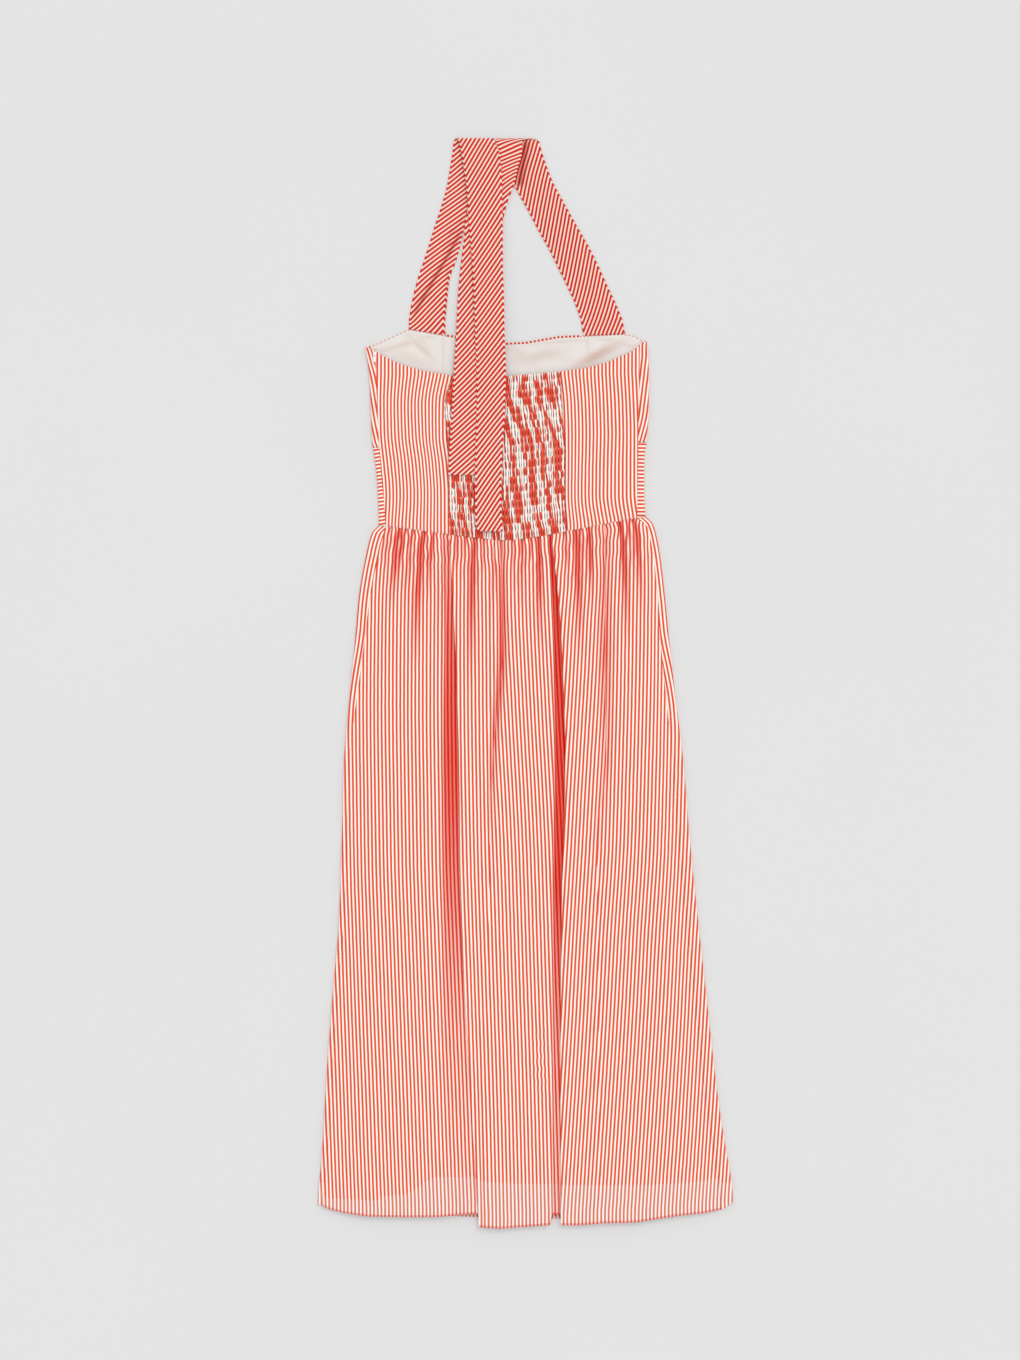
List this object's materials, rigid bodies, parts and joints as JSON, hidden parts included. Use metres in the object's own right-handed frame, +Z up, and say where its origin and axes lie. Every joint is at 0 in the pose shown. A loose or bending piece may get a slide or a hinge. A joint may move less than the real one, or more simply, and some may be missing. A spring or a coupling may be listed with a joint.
{
  "type": "halter dress",
  "caption": "Striped halter dress laid flat, back side up: smocked back, wide straps folded over, gathered skirt, side zip.",
  "frame": {"origin": "middle of the dress's footprint, on the surface that it lies on", "axes": "+Z up out of the surface, +Y towards the fold of the straps, -Y towards the hem, +X to the right side as seen from above"},
  "size_m": [0.561, 1.4699, 0.0136],
  "materials": {
    "striped_cotton": "fine woven cotton with narrow coral red and white stripes, matt and slightly sheer",
    "striped_cotton_bias": "the same striped cotton, double and cut on the bias, a deeper red",
    "white_lining": "plain white lining with a soft sheen",
    "white_tape": "narrow woven zip tape, white",
    "white_enamel": "small zip slider and pull, white enamel on metal"
  },
  "bodies": {
    "dress": {"skirt_front": "striped_cotton", "skirt_back": "striped_cotton", "skirt_lining": "white_lining", "bodice_front": "striped_cotton", "midriff_front": "striped_cotton", "bodice_lining_left": "white_lining", "bodice_lining_centre": "white_lining", "bodice_lining_right": "white_lining", "back_left": "striped_cotton", "back_smocked": "striped_cotton", "back_right": "striped_cotton", "halter_strap_left": "striped_cotton_bias", "halter_strap_right": "striped_cotton_bias", "zip_tape": "white_tape", "zip_slider": "white_enamel"},
    "pull": {"zip_pull": "white_enamel"}
  },
  "joints": [
    {"name": "zip_pull_swing", "type": "hinge", "parent": "dress", "child": "pull", "pos_m": [-0.20326, 0.4415, 0.0093], "axis": [-1, 0, 0], "range_deg": [0, 160]}
  ]
}
